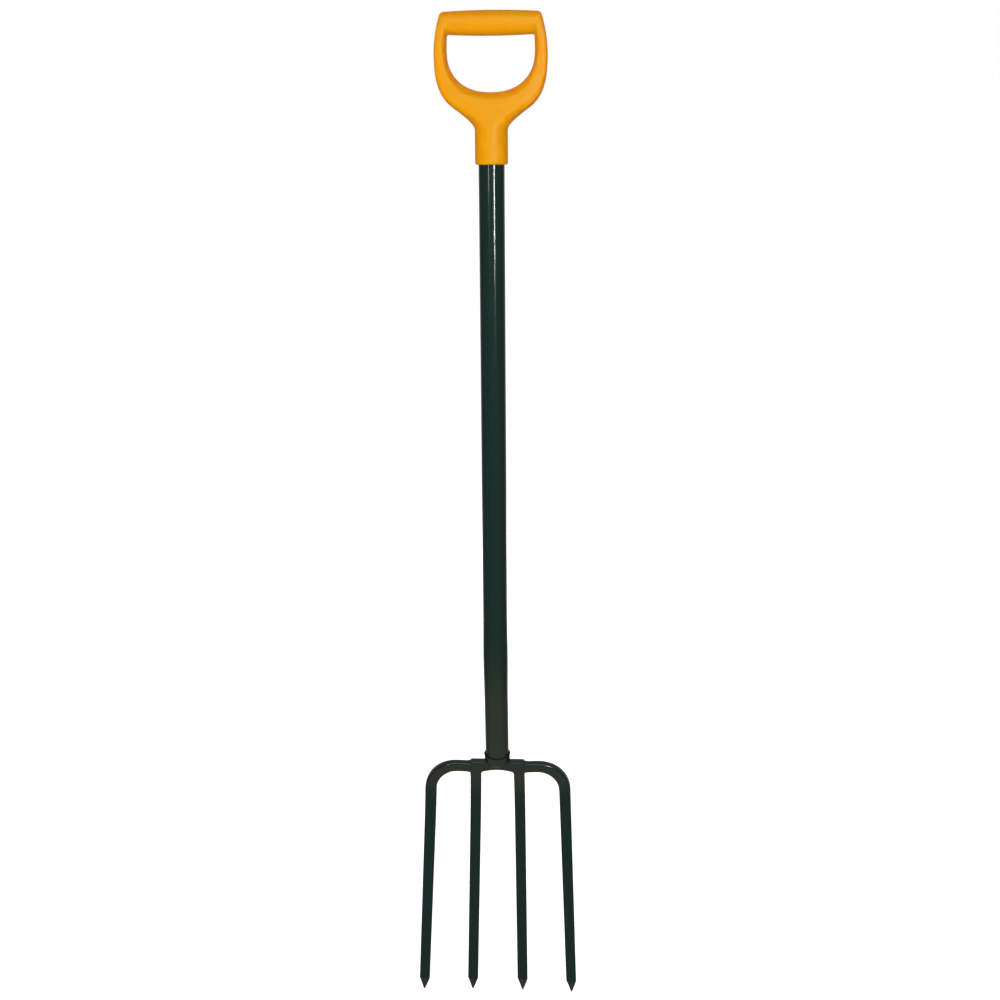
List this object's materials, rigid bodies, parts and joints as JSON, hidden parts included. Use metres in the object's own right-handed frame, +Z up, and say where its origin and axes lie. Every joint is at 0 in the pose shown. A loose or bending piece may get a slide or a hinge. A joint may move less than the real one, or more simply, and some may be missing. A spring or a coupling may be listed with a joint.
{
  "type": "digging fork",
  "caption": "Garden digging fork with a moulded D-handle, a bent steel tube shaft and a welded head with long flat-faced tines.",
  "frame": {"origin": "level with the tips of the outer tines, at the middle of the fork from side to side and from front to back", "axes": "+Z up along the upper shaft to the handle, +X across the tines to the right seen from the front, -Y towards the front"},
  "size_m": [0.1956, 0.058, 1.1601],
  "materials": {
    "handle_plastic": "orange moulded plastic, fine satin texture",
    "painted_steel": "dark green-black gloss enamel",
    "plated_steel": "zinc plated"
  },
  "bodies": {
    "root": {"d_handle": "handle_plastic", "handle_screw": "plated_steel", "shaft_tube": "painted_steel", "socket_collar": "painted_steel", "collar_weld": "painted_steel", "centre_fork": "painted_steel", "outer_tine_left": "painted_steel", "outer_tine_right": "painted_steel", "seam_weld_left": "painted_steel", "seam_weld_right": "painted_steel"}
  },
  "joints": []
}
